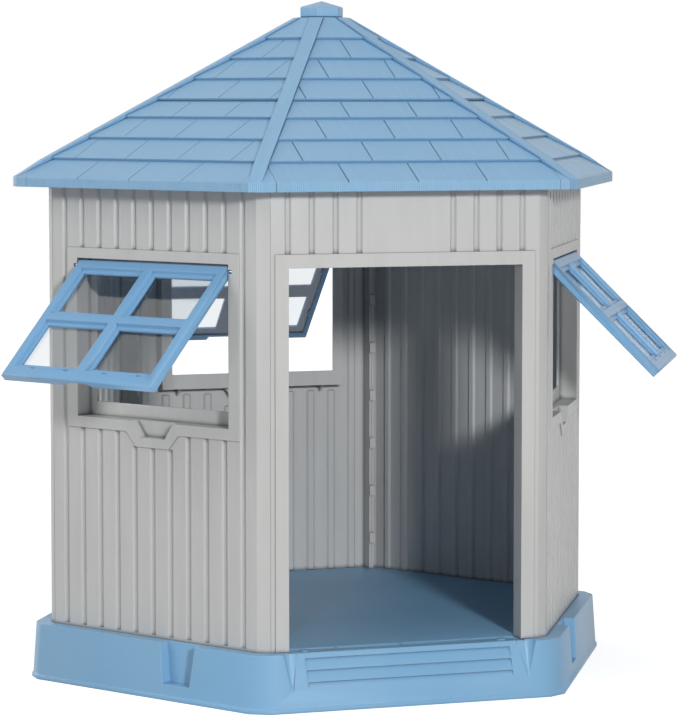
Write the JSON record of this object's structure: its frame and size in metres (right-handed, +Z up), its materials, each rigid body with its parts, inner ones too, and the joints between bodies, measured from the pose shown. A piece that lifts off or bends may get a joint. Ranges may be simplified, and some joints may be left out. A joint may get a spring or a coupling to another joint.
{
  "type": "dog house",
  "caption": "Hexagonal plastic dog house with ribbed wall panels, a tiered shingle-pattern roof, an open doorway over a hollow base and awning windows that swing out on pins.",
  "frame": {"origin": "centre of the hexagonal base's underside, on the ground", "axes": "+Z up; the doorway faces -Y; +X to the right seen from the front"},
  "size_m": [0.932, 0.8289, 0.8824],
  "materials": {
    "wall_grey": "moulded, finely matt",
    "roof_blue": "moulded, finely matt",
    "sash_blue": "moulded, satin",
    "clear_sheet": "clear, glossy",
    "pin_steel": "bright"
  },
  "bodies": {
    "house": {"base_tray": "roof_blue", "wall_front": "wall_grey", "wall_front_right": "wall_grey", "wall_back_right": "wall_grey", "wall_back": "wall_grey", "wall_back_left": "wall_grey", "wall_front_left": "wall_grey", "roof_upper_front": "roof_blue", "roof_lower_front": "roof_blue", "hip_cap_front": "roof_blue", "roof_upper_front_right": "roof_blue", "roof_lower_front_right": "roof_blue", "hip_cap_front_right": "roof_blue", "roof_upper_back_right": "roof_blue", "roof_lower_back_right": "roof_blue", "hip_cap_back_right": "roof_blue", "roof_upper_back": "roof_blue", "roof_lower_back": "roof_blue", "hip_cap_back": "roof_blue", "roof_upper_back_left": "roof_blue", "roof_lower_back_left": "roof_blue", "hip_cap_back_left": "roof_blue", "roof_upper_front_left": "roof_blue", "roof_lower_front_left": "roof_blue", "hip_cap_front_left": "roof_blue", "roof_finial": "roof_blue"},
    "window_front_right": {"window_sash_front_right": "sash_blue", "window_pane_front_right": "clear_sheet", "hinge_pin_left_front_right": "pin_steel", "hinge_pin_right_front_right": "pin_steel"},
    "window_back": {"window_sash_back": "sash_blue", "window_pane_back": "clear_sheet", "hinge_pin_left_back": "pin_steel", "hinge_pin_right_back": "pin_steel"},
    "window_front_left": {"window_sash_front_left": "sash_blue", "window_pane_front_left": "clear_sheet", "hinge_pin_left_front_left": "pin_steel", "hinge_pin_right_front_left": "pin_steel"}
  },
  "joints": [
    {"name": "window_front_right_hinge", "type": "hinge", "parent": "house", "child": "window_front_right", "pos_m": [0.2794, -0.16131, 0.541], "axis": [-0.5, -0.866, 0], "range_deg": [-45, 40]},
    {"name": "window_back_hinge", "type": "hinge", "parent": "house", "child": "window_back", "pos_m": [0, 0.32263, 0.541], "axis": [1, 0, 0], "range_deg": [-45, 40]},
    {"name": "window_front_left_hinge", "type": "hinge", "parent": "house", "child": "window_front_left", "pos_m": [-0.2794, -0.16131, 0.541], "axis": [-0.5, 0.866, 0], "range_deg": [-45, 40]}
  ]
}
